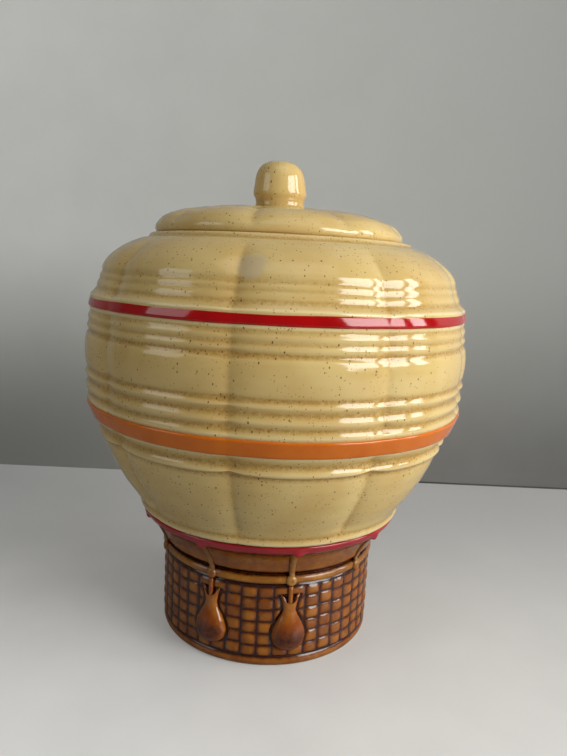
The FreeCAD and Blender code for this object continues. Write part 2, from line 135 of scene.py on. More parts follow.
def hollow_depth(line, span):
    """How far each place of an outline lies inside the outline's own mean over a span."""
    half = max(1, round(span / np.linalg.norm(np.diff(line, axis=0), axis=1).mean()))
    window = np.hanning(2 * half + 3)[1:-1]
    window /= window.sum()
    padded = np.pad(line, ((half, half), (0, 0)), mode="reflect", reflect_type="odd")
    mean = np.column_stack([np.convolve(padded[:, k], window, "valid") for k in (0, 1)])
    return ((mean - line) * outward(line)).sum(axis=1)


def turned(radius, compass, height):
    """Points at a radius, compass angle in radians and height, in metres."""
    radius, compass, height = np.broadcast_arrays(radius, compass, height)
    return np.stack([radius * np.sin(compass), -radius * np.cos(compass), height], axis=-1) * MM


def ripple(compass, height, size, *waves):
    """Slow unevenness of a cast surface: a sum of sines round and up the jar."""
    total = np.zeros(np.broadcast(compass, height).shape)
    for around, up, shift in waves:
        total = total + np.sin(around * compass + up * height + shift)
    return size * total / max(1, len(waves))


def smooth_step(low, high, value):
    """0 below low, 1 above high, and a smooth cubic between."""
    share = np.clip((value - low) / (high - low), 0, 1)
    return share * share * (3 - 2 * share)


def grid_faces(rows, columns, closed_rows=False):
    """Quads over a grid of points whose columns go right round."""
    row = np.arange(rows if closed_rows else rows - 1)[:, None]
    column = np.arange(columns)[None, :]
    after_row, after_column = (row + 1) % rows, (column + 1) % columns
    corners = [
        row * columns + column,
        row * columns + after_column,
        after_row * columns + after_column,
        after_row * columns + column,
    ]
    return np.stack(np.broadcast_arrays(*corners), axis=-1).reshape(-1, 4)


def closed_grid(points, values=None, poles=True):
    """A closed surface from a grid of points, as (points, quads, triangles, values).

    With poles, the first and last rows are closed by fans to their mean points; without,
    the last row joins the first.
    """
    rows, columns = points.shape[:2]
    quads = grid_faces(rows, columns, closed_rows=not poles)
    flat = points.reshape(-1, 3)
    values = {name: np.broadcast_to(v, (rows, columns)).reshape(-1) for name, v in (values or {}).items()}
    triangles = np.zeros((0, 3), int)
    if poles:
        first, last = len(flat), len(flat) + 1
        column = np.arange(columns)
        after = (column + 1) % columns
        end = (rows - 1) * columns
        start_fan = np.column_stack([np.full(columns, first), after, column])
        end_fan = np.column_stack([np.full(columns, last), end + column, end + after])
        triangles = np.vstack([start_fan, end_fan])
        flat = np.vstack([flat, points[0].mean(axis=0), points[-1].mean(axis=0)])
        for name, value in values.items():
            values[name] = np.concatenate([value, [value[:columns].mean(), value[-columns:].mean()]])
    return flat, quads, triangles, values


def joined(surfaces):
    """Several closed surfaces as one."""
    flats, quads, triangles, start = [], [], [], 0
    for flat, quad, triangle, _ in surfaces:
        flats.append(flat)
        quads.append(quad + start)
        triangles.append(triangle + start)
        start += len(flat)
    names = surfaces[0][3]
    values = {name: np.concatenate([surface[3][name] for surface in surfaces]) for name in names}
    return np.vstack(flats), np.vstack(quads), np.vstack(triangles), values


def swung(surface, degrees):
    """The same surface, turned about the jar's axis."""
    turn = math.radians(degrees)
    matrix = np.array(
        [[math.cos(turn), -math.sin(turn), 0], [math.sin(turn), math.cos(turn), 0], [0, 0, 1]]
    )
    return (surface[0] @ matrix.T, *surface[1:])


def make_piece(name, surface, materials, nodes=(), body="jar", zones=None):
    """Put a surface into a mesh, with its values as point attributes and its glaze.

    zones gives each quad the number of its material.
    """
    flat, quads, triangles, values = surface
    mesh = bpy.data.meshes.new(name)
    mesh.from_pydata(flat.tolist(), [], quads.tolist() + triangles.tolist())
    for key, value in values.items():
        attribute = mesh.attributes.new(key, "FLOAT", "POINT")
        attribute.data.foreach_set("value", np.ascontiguousarray(value, np.float32))
    for material in materials:
        mesh.materials.append(material)
    if zones is not None:
        spread = np.concatenate([zones, np.zeros(len(triangles), int)]).astype(np.int32)
        mesh.polygons.foreach_set("material_index", spread)
    mesh.shade_smooth()
    if mesh.validate():
        raise RuntimeError(f"{name} has faulty faces")
    piece = bpy.data.objects.new(name, mesh)
    bpy.context.scene.collection.objects.link(piece)
    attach(piece, body)
    if nodes:
        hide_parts(*nodes)


# Glazes


def linear(hex_colour):
    """An sRGB hex colour as linear red, green, blue and alpha."""
    channels = [int(hex_colour[k : k + 2], 16) / 255 for k in (1, 3, 5)]
    return [c / 12.92 if c <= 0.04045 else ((c + 0.055) / 1.055) ** 2.4 for c in channels] + [1.0]


def add(tree, kind, sockets=None, **settings):
    """Add a node: settings are its own, sockets are given as values or as outputs to link."""
    node = tree.nodes.new(kind)
    for name, value in settings.items():
        setattr(node, name, value)
    for key, value in (sockets or {}).items():
        if isinstance(value, bpy.types.NodeSocket):
            tree.links.new(value, node.inputs[key])
        else:
            node.inputs[key].default_value = value
    return node


def math_node(tree, operation, *values, clamp=False):
    """The result of one sum."""
    sockets = dict(enumerate(values))
    return add(tree, "ShaderNodeMath", sockets, operation=operation, use_clamp=clamp).outputs[0]


def mixed(tree, share, first, second):
    """Two colours mixed by a share."""
    sockets = {"Factor": share, "A": first, "B": second}
    return add(tree, "ShaderNodeMix", sockets, data_type="RGBA").outputs["Result"]


def ramped(tree, value, low, high):
    """A value spread from 0 at low to 1 at high."""
    sockets = {"Value": value, "From Min": low, "From Max": high}
    return add(tree, "ShaderNodeMapRange", sockets, clamp=True).outputs["Result"]


def read_value(tree, name):
    """One of the piece's own point values."""
    return add(tree, "ShaderNodeAttribute", attribute_name=name).outputs["Fac"]


def noise(tree, size_mm, detail=2.0, roughness=0.5):
    """Cloudy noise whose patches are about this size."""
    where = add(tree, "ShaderNodeTexCoord").outputs["Object"]
    sockets = {"Vector": where, "Scale": 1 / (size_mm * MM), "Detail": detail, "Roughness": roughness}
    return add(tree, "ShaderNodeTexNoise", sockets).outputs["Fac"]


def specks(tree, spacing_mm, radius_mm, share, stretch=1.0):
    """Round iron specks: near the middle of some cells of a scatter of points, 1 inside a speck.

    A share of the cells has a speck, of half the radius up to all of it.
    """
    place = add(tree, "ShaderNodeTexCoord").outputs["Object"]
    place = add(tree, "ShaderNodeMapping", {"Vector": place, "Scale": (1, 1, 1 / stretch)}).outputs[0]
    cell = add(tree, "ShaderNodeTexVoronoi", {"Vector": place, "Scale": 1 / (spacing_mm * MM)})
    chance = add(tree, "ShaderNodeSeparateColor", {"Color": cell.outputs["Color"]}).outputs[0]
    chosen = math_node(tree, "GREATER_THAN", chance, 1 - share)
    grown = math_node(tree, "ADD", ramped(tree, chance, 1 - share, 1), 1.0)
    size = math_node(tree, "MULTIPLY", grown, 0.5 * radius_mm / spacing_mm)
    inside = math_node(tree, "SUBTRACT", size, cell.outputs["Distance"])
    disc = ramped(tree, inside, 0, 0.35 * radius_mm / spacing_mm)
    return math_node(tree, "MULTIPLY", disc, chosen)


def new_material(name):
    """An empty material with its shader, as (material, node tree, shader)."""
    material = bpy.data.materials.new(name)
    material.use_nodes = True
    tree = material.node_tree
    return material, tree, tree.nodes["Principled BSDF"]


def set_gloss(shader, roughness, ior=1.52):
    """A fired gloss glaze: a clear, smooth glass skin."""
    shader.inputs["Roughness"].default_value = roughness
    shader.inputs["IOR"].default_value = ior


def uneven_skin(tree, shader, size_mm, height_mm, fine_mm=None):
    """Give the glaze the slight orange peel of a poured coat."""
    height = noise(tree, size_mm, detail=1.0)
    if fine_mm:
        height = math_node(tree, "ADD", height, math_node(tree, "MULTIPLY", noise(tree, fine_mm), 0.15))
    sockets = {"Height": height, "Distance": height_mm * MM, "Strength": 1.0}
    tree.links.new(add(tree, "ShaderNodeBump", sockets).outputs["Normal"], shader.inputs["Normal"])


def scuffed(tree, place_mm, reach_mm):
    """1 in a ragged worn patch round a place on the jar, 0 outside it."""
    here = add(tree, "ShaderNodeTexCoord").outputs["Object"]
    sockets = {0: here, 1: [coordinate * MM for coordinate in place_mm]}
    away = add(tree, "ShaderNodeVectorMath", sockets, operation="DISTANCE").outputs["Value"]
    near = ramped(tree, away, reach_mm * MM, 0.3 * reach_mm * MM)
    ragged = math_node(tree, "ADD", near, noise(tree, 3.5, detail=4.0, roughness=0.7))
    return ramped(tree, ragged, 1.05, 1.25)


def cream_glaze(colours, worn=False):
    """Speckled cream glaze, poured over buff earthenware.

    It pools tan in the grooves, thins to pale cream on the ribs and carries fine iron specks.
    When worn, it has one dull scuffed patch on the front of the shoulder.
    """
    material, tree, shader = new_material("speckled_cream_glaze")
    cloud = noise(tree, 28, detail=3.0)
    mottle = noise(tree, 1.6, detail=3.0, roughness=0.6)
    # pool is the glaze pooled in grooves, and on the lid also painted shade at its seat.
    pool = read_value(tree, "pool")
    body = mixed(tree, ramped(tree, cloud, 0.35, 0.65), linear(colours.cream), linear(colours.warm_cream))
    streaks = math_node(tree, "MULTIPLY", ramped(tree, mottle, 0.35, 0.62), 0.55)
    streaks = math_node(tree, "ADD", streaks, 0.45)
    body = mixed(tree, math_node(tree, "MULTIPLY", pool, streaks), body, linear(colours.tan))
    body = mixed(tree, read_value(tree, "thin"), body, linear(colours.pale_cream))
    dense = ramped(tree, noise(tree, 13, detail=2.0), 0.3, 0.65)
    crowd = math_node(tree, "ADD", dense, pool, clamp=True)
    faint = math_node(tree, "MULTIPLY", specks(tree, 1.5, 0.52, 0.45), crowd)
    body = mixed(tree, math_node(tree, "MULTIPLY", faint, 0.75), body, linear(colours.tan_speck))
    pooled = math_node(tree, "MULTIPLY", pool, 0.8)
    in_groove = math_node(tree, "MULTIPLY", specks(tree, 1.3, 0.4, 0.4), pooled)
    body = mixed(tree, in_groove, body, linear(colours.tan_speck))
    dark = math_node(tree, "MULTIPLY", specks(tree, 1.7, 0.48, 0.3, stretch=1.6), 0.85)
    body = mixed(tree, dark, body, linear(colours.iron_speck))
    set_gloss(shader, 0.1)
    if worn:
        patch = scuffed(tree, (-11, -88, 201), 12)
        body = mixed(tree, math_node(tree, "MULTIPLY", patch, 0.6), body, linear("#C6B594"))
        dull = math_node(tree, "ADD", math_node(tree, "MULTIPLY", patch, 0.4), 0.1)
        tree.links.new(dull, shader.inputs["Roughness"])
    tree.links.new(body, shader.inputs["Base Color"])
    uneven_skin(tree, shader, 9, 0.05, fine_mm=1.2)
    return material


def enamel(name, colour, deep_colour):
    """Overglaze enamel brushed on as a band: glossy, and a little deeper where it is thick."""
    material, tree, shader = new_material(name)
    cloud = noise(tree, 14, detail=3.0)
    body = mixed(tree, ramped(tree, cloud, 0.4, 0.75), linear(colour), linear(deep_colour))
    tree.links.new(body, shader.inputs["Base Color"])
    set_gloss(shader, 0.09)
    uneven_skin(tree, shader, 9, 0.035)
    return material


def brown_glaze(name, high, middle, deep):
    """Translucent honey glaze over relief: amber where it is thin, and near black where it pools and where
    shade is painted in.
    """
    material, tree, shader = new_material(name)
    # pool is the pooled glaze, and on the basket also painted shade.
    pool = read_value(tree, "pool")
    mottle = noise(tree, 2.6, detail=4.0, roughness=0.65)
    cloud = noise(tree, 11, detail=2.0)
    uneven = math_node(tree, "MULTIPLY", math_node(tree, "SUBTRACT", mottle, 0.5), 0.7)
    depth = math_node(tree, "ADD", pool, uneven, clamp=True)
    top = mixed(tree, ramped(tree, cloud, 0.35, 0.65), linear(high), linear(middle))
    body = mixed(tree, ramped(tree, depth, 0.1, 0.5), top, linear(middle))
    body = mixed(tree, ramped(tree, depth, 0.35, 0.85), body, linear(deep))
    tree.links.new(body, shader.inputs["Base Color"])
    set_gloss(shader, 0.17)
    uneven_skin(tree, shader, 4, 0.05, fine_mm=0.9)
    return material


def bare_clay():
    """Unglazed buff earthenware, wiped clean so that the foot doesn't stick in the kiln: matt."""
    material, tree, shader = new_material("unglazed_earthenware")
    grain = noise(tree, 1.1, detail=4.0, roughness=0.7)
    body = mixed(tree, ramped(tree, grain, 0.3, 0.7), linear("#E2D9C6"), linear("#CDBFA6"))
    tree.links.new(body, shader.inputs["Base Color"])
    set_gloss(shader, 0.75)
    return material


def stage_paint(name, first, second, axis, start, end, roughness, glow, right="#FFFFFF"):
    """Matt paint of the stage that shades from one colour to another along an axis, as painted shade of the
    room's light.

    start and end are in metres; towards the right the colour is multiplied by right, a painted shade, and a
    faint cloud keeps the paint from looking printed.  To the camera the paint glows with strength glow, a
    painted light; to anything but the camera it is a middling grey, so that it throws little light on the
    jar.
    """
    material, tree, shader = new_material(name)
    place = add(tree, "ShaderNodeTexCoord").outputs["Object"]
    places = add(tree, "ShaderNodeSeparateXYZ", {0: place}).outputs
    sockets = {"Value": places[axis], "From Min": start, "From Max": end}
    share = add(tree, "ShaderNodeMapRange", sockets, interpolation_type="SMOOTHSTEP").outputs["Result"]
    paint = mixed(tree, share, linear(first), linear(second))
    side_shade = mixed(tree, ramped(tree, places["X"], -0.35, 0.4), linear("#FFFFFF"), linear(right))
    sockets = {"Factor": 1.0, "A": paint, "B": side_shade}
    paint = add(tree, "ShaderNodeMix", sockets, data_type="RGBA", blend_type="MULTIPLY").outputs["Result"]
    cloud = math_node(tree, "MULTIPLY", ramped(tree, noise(tree, 60, detail=3.0), 0.3, 0.7), 0.12)
    paint = mixed(tree, cloud, paint, linear("#8E8E8C"))
    # Painted light: the paint glows to the camera only, which lifts the table and wall and their shadows.
    seen = add(tree, "ShaderNodeLightPath").outputs["Is Camera Ray"]
    tree.links.new(mixed(tree, seen, linear("#A6A6A4"), paint), shader.inputs["Base Color"])
    tree.links.new(paint, shader.inputs["Emission Color"])
    tree.links.new(math_node(tree, "MULTIPLY", seen, glow), shader.inputs["Emission Strength"])
    set_gloss(shader, roughness)
    return material


# The balloon


def gore_columns(count):
    """Compass angles round the jar, closer together at the creases, in radians.

    With each comes its share of the way from its gore's middle to the crease beside it.
    """
    step = np.linspace(-1, 1, count, endpoint=False) + 1 / count
    share = 0.5 * step + 0.5 * np.sin(np.pi / 2 * step)
    middles = GORE_MIDDLE + 2 * GORE_HALF * np.arange(GORES)
    angles = middles[:, None] + GORE_HALF * share[None, :]
    return np.radians(angles).ravel(), np.tile(np.abs(share), GORES)


def crease(share, softness=0.13):
    """Depth across a gore, 0 in its middle and about 1 at the crease.

    It is a third of the square of the share and two thirds of its sixth power, with the
    sharp valley rounded as a hyperbola's tip.
    """
    swell = share**2 / 3 + share**6 * 2 / 3
    return math.sqrt(1 + softness**2) - np.sqrt((1 - swell) ** 2 + softness**2)


def crease_depth(height):
    """How deep the creases are at each height: nothing at the lips, little under the enamel."""
    heights = [CRIMSON_TOP + 3, CRIMSON_TOP + 8, ORANGE_BASE - 6, ORANGE_BASE, ORANGE_TOP, ORANGE_TOP + 4,
               RED_BASE - 3, RED_BASE, RED_TOP, RED_TOP + 4, JAR_TOP - 12, JAR_TOP - 2.5]
    depths = [0.3, 2.5, 2.3, 0.8, 0.8, 2.2, 2.0, 0.7, 0.7, 2.2, 2.6, 0.0]
    return np.interp(height, heights, depths)


def balloon_outline():
    """The crest of a gore, from the seat of the crimson line up to the mouth."""
    low, orange, lid = CRIMSON_TOP, ORANGE_BASE, JAR_TOP
    return [
        (67.4, BASKET_TOP), (67.4, low), (71.8, low + 0.1), (73.2, low + 1.2), (73.6, low + 2.6),
        (73.0, low + 4.2),
        # lower panel
        (74.3, low + 5.8), (77.0, low + 10.0), (82.6, low + 17.8), (87.3, low + 25.8),
        (91.2, low + 33.8), (93.1, orange - 12.0), (93.2, orange - 10.4),
        # ridge and groove under the orange band
        (95.3, orange - 9.4), (95.7, orange - 8.1), (95.1, orange - 6.9), (94.4, orange - 4.8),
        (96.6, orange - 2.2), (98.2, orange - 0.5), (98.0, orange + 0.6), (100.7, ORANGE_TOP - 0.5),
        (101.5, ORANGE_TOP + 0.5), (101.9, ORANGE_TOP + 1.7),
        # two ridges over the orange band
        (100.8, ORANGE_TOP + 4.4), (102.5, ORANGE_TOP + 7.4), (101.1, ORANGE_TOP + 11.3),
        (102.8, ORANGE_TOP + 14.4), (101.3, ORANGE_TOP + 17.0),
        # middle panel
        (102.3, ORANGE_TOP + 18.8), (102.9, ORANGE_TOP + 24.0), (102.9, ORANGE_TOP + 29.0),
        (102.3, RED_BASE - 14.0), (100.9, RED_BASE - 11.9),
        # two ridges under the red band
        (102.0, RED_BASE - 9.5), (100.9, RED_BASE - 7.0), (101.6, RED_BASE - 4.5),
        (100.2, RED_BASE - 2.1), (100.7, RED_BASE - 0.6), (100.2, RED_BASE + 0.5),
        (100.2, RED_TOP - 0.5), (100.4, RED_TOP + 0.8), (98.9, RED_TOP + 2.2),
        (97.1, RED_TOP + 4.2),
        # two ridges over the red band
        (96.9, RED_TOP + 6.5), (95.5, RED_TOP + 8.8), (95.5, RED_TOP + 10.6),
        (94.3, RED_TOP + 12.4),
        # shoulder
        (94.4, lid - 18.4), (93.3, lid - 16.0), (91.4, lid - 13.3), (88.4, lid - 10.5),
        (84.2, lid - 7.5), (79.2, lid - 4.8), (74.4, lid - 2.9), (71.9, lid - 2.5),
        # collar and mouth
        (70.8, lid - 1.9), (70.3, lid - 0.4), (69.2, lid), (56.2, lid), (55.0, lid - 1.2),
        (55.0, lid - 5.5),
    ]


def balloon_surface():
    """The balloon as a closed shell: its crest outline less the crease depth, and its hollow.

    The radius at each place is the outline's, less crease depth along the outline's normal,
    plus a slow ripple; the hollow inside is turned.
    """
    line = rounded_run(balloon_outline(), 1.2, 1.1)
    compass, share = gore_columns(44)
    dip = crease(share)[None, :] * crease_depth(line[:, 1])[:, None]
    normal = outward(line)
    radius = line[:, :1] - dip * normal[:, :1] - 0.2
    height = line[:, 1:] - dip * normal[:, 1:]
    soft = smooth_step(CRIMSON_TOP, CRIMSON_TOP + 8, line[:, 1:])
    soft = soft * smooth_step(JAR_TOP, JAR_TOP - 6, line[:, 1:])
    radius = radius + soft * ripple(compass, height, 0.16, (3, 0.05, 0.4), (7, 0.11, 1.3), (12, -0.07, 2.2))
    outer = turned(radius, compass[None, :], height)

    hollow = [
        (55.0, JAR_TOP - 5.5), (72.5, JAR_TOP - 10.5), (87.1, JAR_TOP - 20.5),
        (94.4, RED_BASE - 11.2), (94.4, ORANGE_TOP + 17.2), (85.3, ORANGE_BASE - 10.6),
        (62.4, BASKET_TOP),
    ]
    inner = rounded_run(hollow, 8.0, 1.5)[1:]
    inside = turned(inner[:, :1], compass[None, :], inner[:, 1:] + 0 * compass[None, :])

    depth = hollow_depth(line, 5.0)
    crease_pool = np.exp(-(((1 - share) / 0.07) ** 2))[None, :] * crease_depth(line[:, 1])[:, None] / 2.5
    pool = np.clip(depth[:, None] / 0.5 + 0.4 * crease_pool, 0, 1)
    edges = [ORANGE_BASE - 0.6, ORANGE_TOP + 0.9, RED_BASE - 0.7, RED_TOP + 0.9, CRIMSON_TOP + 1.6]
    halo = sum(np.exp(-(((line[:, 1] - edge) / 0.55) ** 2)) for edge in edges)
    thin = np.clip(-depth / 0.7 - 0.25, 0, 1) * 0.55 + halo * 0.8
    values = {
        "pool": np.vstack([pool, np.zeros((len(inner), len(compass)))]),
        "thin": np.vstack([np.clip(thin, 0, 1)[:, None] + 0 * pool, np.zeros((len(inner), len(compass)))]),
    }
    return closed_grid(np.vstack([outer, inside]), values, poles=False)


def band_surface(corners, low, high, wobble):
    """A hoop of enamel from its outline, with brushed edges that wander up and down a little."""
    line = rounded_run(corners, 0.42, 0.5)
    compass, share = gore_columns(44)
    dip = crease(share)[None, :] * crease_depth(line[:, 1])[:, None]
    climb = (line[:, 1:] - low) / (high - low)
    low_edge = ripple(compass, 0, wobble, (5, 0, 0.3), (11, 0, 1.9), (23, 0, 4.0))
    high_edge = ripple(compass, 0, wobble, (4, 0, 2.2), (9, 0, 0.7), (19, 0, 3.1))
    height = line[:, 1:] + (1 - climb) * low_edge[None, :] + climb * high_edge[None, :]
    return closed_grid(turned(line[:, :1] - dip, compass[None, :], height), poles=False)


def red_surface():
    """The wide red hoop at the shoulder, which leans in a little to the top."""
    edge = RED_RADIUS
    corners = [
        (edge - 3.0, RED_BASE + 0.4), (edge - 0.4, RED_BASE + 0.15), (edge, RED_BASE + 1.0),
        (edge - 0.35, (RED_BASE + RED_TOP) / 2), (edge - 0.85, RED_TOP - 1.0),
        (edge - 1.2, RED_TOP - 0.15), (edge - 3.2, RED_TOP - 0.4),
    ]
    return band_surface(corners, RED_BASE, RED_TOP, 0.12)


def orange_surface():
    """The orange hoop, which leans out with the balloon's side."""
    edge, lean = ORANGE_RADIUS, 2.7
    corners = [
        (edge - lean - 3.0, ORANGE_BASE + 0.4), (edge - lean - 0.5, ORANGE_BASE + 0.15),
        (edge - lean + 0.2, ORANGE_BASE + 1.0),
        (edge - lean / 2 + 0.05, (ORANGE_BASE + ORANGE_TOP) / 2), (edge - 0.15, ORANGE_TOP - 1.0),
        (edge - 0.5, ORANGE_TOP - 0.15), (edge - 3.0, ORANGE_TOP - 0.4),
    ]
    return band_surface(corners, ORANGE_BASE, ORANGE_TOP, 0.14)


def crimson_surface():
    """The thin crimson line, which has run down a little over the head of each rope."""
    edge = CRIMSON_RADIUS
    corners = [
        (edge - 5.2, BASKET_TOP + 0.3), (edge - 2.8, BASKET_TOP), (edge - 1.9, BASKET_TOP + 0.8),
        (edge - 0.5, CRIMSON_TOP - 1.0), (edge - 0.9, CRIMSON_TOP - 0.1),
        (edge - 4.5, CRIMSON_TOP - 0.3),
    ]
    line = rounded_run(corners, 0.42, 0.4)
    compass = np.radians(np.arange(0, 360, 0.75))
    climb = (line[:, 1:] - BASKET_TOP) / (CRIMSON_TOP - BASKET_TOP)
    away = (np.degrees(compass) - ROPE_FRONT + GORE_HALF) % (2 * GORE_HALF) - GORE_HALF
    run = np.exp(-((away / 2.0) ** 2))[None, :] * np.clip(1 - climb, 0, 1)
    outer = smooth_step(edge - 4.5, edge - 3.0, line[:, :1])
    wander = ripple(compass, 0, 0.2, (5, 0, 0.3), (11, 0, 1.9), (23, 0, 4.0))[None, :]
    height = line[:, 1:] + (1 - climb) * outer * wander - 1.3 * run * outer
    return closed_grid(turned(line[:, :1] + 1.0 * run * outer, compass[None, :], height), poles=False)


# The basket


def skirt_outline():
    """The basket's skirt, which flares out under the balloon."""
    return [
        (58.8, RAIL_TOP + 1.2), (60.0, RAIL_TOP + 2.4), (61.0, RAIL_TOP + 5.0),
        (62.6, RAIL_TOP + 8.0), (64.6, RAIL_TOP + 11.2), (67.2, RAIL_TOP + 14.2),
        (69.3, BASKET_TOP),
    ]


def bag_half_width(height):
    """Half the width of a sandbag at each height: round below, a neck, and a spread mouth."""
    heights = BAG_BASE + np.array([0, 0.7, 3.4, 7.5, 11.5, 16.0, 19.5, 21.8, 25.0, 30.0])
    widths = [0, 4.9, 7.9, 8.9, 8.2, 5.9, 3.9, 3.2, 3.9, 5.4]
    return np.interp(height, heights, widths, left=-9, right=-9)


def weave_relief(compass, height):
    """Height of the woven squares over their grooves, from 0 to about 1.

    Each square is a cushion: the product, across and up, of a bump that is one less the cube
    of the distance from its middle.  Columns are shifted up or down a little and squares
    differ in height.
    """
    across = (np.degrees(compass) - ROPE_FRONT) / (360 / WEAVE_COLUMNS)
    column = np.floor(across)
    shift = 0.45 * np.sin(2.1 * column + 0.6) + 0.3 * np.sin(5.3 * column)
    upward = (height + shift - WEAVE_BASE) / WEAVE_ROW
    row = np.clip(np.floor(upward), 0, WEAVE_ROWS - 1)
    u = 2 * (across - column) - 1
    v = np.clip(2 * (upward - row) - 1, -1, 1)
    bump = ((1 - np.abs(u) ** 3) * (1 - np.abs(v) ** 3)) ** 0.85
    uneven = 0.88 + 0.12 * np.sin(3.7 * column + 2.9 * row + 1.1)
    inside = smooth_step(WEAVE_BASE - 0.1, WEAVE_BASE + 0.8, height)
    inside = inside * smooth_step(WEAVE_TOP + 0.1, WEAVE_TOP - 2.2, height)
    return bump * uneven * inside


def bag_moat(compass, height):
    """1 in the sunk outline round each sandbag and behind it, 0 away from it."""
    moat = np.zeros(np.broadcast(compass, height).shape)
    for rope in BAG_ROPES:
        away = (np.degrees(compass) - ROPE_FRONT - rope * ROPE_STEP + 180) % 360 - 180
        aside = np.abs(np.radians(away)) * 59
        gap = aside - bag_half_width(height)
        moat = np.maximum(moat, smooth_step(1.9, 0.9, gap))
    return moat


def basket_surface():
    """The basket as a closed shell, with the number of each quad's material.

    Outside, the radius is the outline's plus a millimetre of weave relief; the inside is turned.
    """
    fine = np.linspace(-1, 1, 12, endpoint=False) + 1 / 12
    cell = (0.5 * fine + 0.5 * np.sin(np.pi / 2 * fine) + 1) / 2
    places = (np.arange(WEAVE_COLUMNS)[:, None] + cell[None, :]).ravel()
    compass = np.radians(ROPE_FRONT + places * 360 / WEAVE_COLUMNS)
    weave = [(58.3, WEAVE_BASE + (row + step) * WEAVE_ROW) for row in range(WEAVE_ROWS) for step in cell]
    under = [(12.0, 3.0), (50.6, 3.0), (51.3, 2.5), (51.4, 0.4), (51.9, 0.0), (56.6, 0.0), (57.4, 0.25)]
    base = [(58.1, 0.8), (58.6, 1.5), (58.9, 2.5), (58.9, 3.6), (58.6, 4.6), (58.2, 5.2), (58.0, 5.6)]
    seat = [(58.0, WEAVE_TOP + 0.3), (57.7, RAIL_BASE), (57.7, RAIL_TOP), (57.9, RAIL_TOP + 0.6)]
    skirt = [tuple(place) for place in rounded_run(skirt_outline(), 1.0, 1.5)]
    rim = [(69.0, BASKET_TOP), (63.0, BASKET_TOP)]
    inside = [(62.3, BASKET_TOP - 0.6), (57.6, 59.0), (53.2, 52.0), (52.6, 49.5), (52.6, 38.0), (52.6, 26.0),
              (52.6, 15.0), (52.1, 12.3), (50.4, 10.6), (47.0, 10.05), (30.0, 10.0), (12.0, 10.0)]
    line = np.array(under + base + weave + seat + skirt + rim + inside)
    outside_rows = len(under) + len(base) + len(weave) + len(seat) + len(skirt)
    height = line[:, 1:] + 0 * compass[None, :]
    moat = bag_moat(compass[None, :], height)
    relief = weave_relief(compass[None, :], height) * (1 - moat)
    is_weave = np.zeros(len(line))
    start = len(under) + len(base)
    is_weave[start : start + len(weave)] = 1
    relief = relief * is_weave[:, None]
    radius = line[:, :1] + relief * 1.05
    # Painted shade: darker bands in the groove over the base band, in the crevices under and over the rope
    # rail, where glaze also pools, and at the head of the skirt under the balloon's overhang.
    base_shade = np.exp(-(((line[:, 1] - 5.5) / 0.8) ** 2))
    rail_shade = np.exp(-(((line[:, 1] - RAIL_BASE + 0.3) / 0.9) ** 2))
    rail_shade = rail_shade + np.exp(-(((line[:, 1] - RAIL_TOP - 1.0) / 1.1) ** 2))
    head_shade = 0.55 * smooth_step(BASKET_TOP - 4, BASKET_TOP, line[:, 1])
    shade = np.clip(base_shade + rail_shade + head_shade, 0, 1)
    outside = (np.arange(len(line)) < outside_rows).astype(float)
    # The weave's pooled glaze and this painted shade go into one value that darkens the honey glaze.
    pool = np.where(is_weave[:, None] > 0, 1 - relief, 0.25) + shade[:, None]
    pool = np.clip(pool, 0, 1) * outside[:, None]
    quads_of_row = np.zeros(len(line) - 1, int)
    quads_of_row[: len(under)] = 2
    quads_of_row[outside_rows + 1 :] = 1
    zones = np.repeat(quads_of_row, len(compass))
    values = {"pool": pool, "thin": np.zeros_like(pool)}
    return closed_grid(turned(radius, compass[None, :], height), values), zones


def rail_surface():
    """The rope rail: a half-round roll that goes right round."""
    middle = (RAIL_BASE + RAIL_TOP) / 2
    angle = np.radians(np.linspace(0, 360, 28, endpoint=False))[:, None]
    compass = np.radians(np.arange(0, 360, 0.8))[None, :]
    wander = ripple(compass, 0, 0.12, (8, 0, 0.2), (17, 0, 1.4))
    radius = 58.0 + 2.1 * np.cos(angle) + wander
    height = middle + 2.35 * np.sin(angle) + wander
    pool = 0.15 + 0.75 * np.abs(np.sin(angle)) ** 3 + 0 * compass
    return closed_grid(turned(radius, compass, height), {"pool": pool}, poles=False)


def strap_surface(head_lean, foot_lean):
    """A rope drawn tight down the skirt: an ellipse carried from the rim to the rail."""
    skirt = np.array(skirt_outline())
    height = np.linspace(BASKET_TOP - 0.2, (RAIL_BASE + RAIL_TOP) / 2, 18)[:, None]
    share = (height - height[-1]) / (height[0] - height[-1])
    bed = np.interp(height, skirt[:, 1], skirt[:, 0], left=59.6)
    angle = np.radians(np.linspace(0, 360, 16, endpoint=False))[None, :]
    half = (1.5 + 0.9 * share) * np.cos(angle)
    out = bed - 0.1 + 1.25 * np.sin(angle)
    lean = np.radians(foot_lean + (head_lean - foot_lean) * share)
    compass = lean - half / bed
    pool = 0.25 + 0.6 * np.abs(np.cos(angle)) ** 4 + 0 * height
    return closed_grid(turned(out, compass, height + 0 * angle)[::-1], {"pool": pool[::-1]})


def knot_surface():
    """A knot on the rail: a round bead, dimpled in the middle."""
    ring = np.linspace(0.12, 1, 9)[:, None]
    angle = np.radians(np.linspace(0, 360, 24, endpoint=False))[None, :]
    middle = (RAIL_BASE + RAIL_TOP) / 2
    dome = np.sqrt(np.maximum(1 - ring**2, 0)) - 0.22 * np.exp(-((ring / 0.4) ** 2))
    front = 59.4 + 2.4 * dome
    aside, up = 3.0 * ring * np.cos(angle), 3.0 * ring * np.sin(angle)
    points = turned(front + 0 * aside, aside / 60, middle + up)
    back = turned(57.8 + 0 * aside[-1:], aside[-1:] / 60, middle + up[-1:])
    shade = np.exp(-((ring / 0.35) ** 2)) * 0.5 + 0.8 * smooth_step(0.85, 1.0, ring)
    pool = np.vstack([shade + 0 * angle, 1 + 0 * angle])
    return closed_grid(np.vstack([points, back]), {"pool": pool})


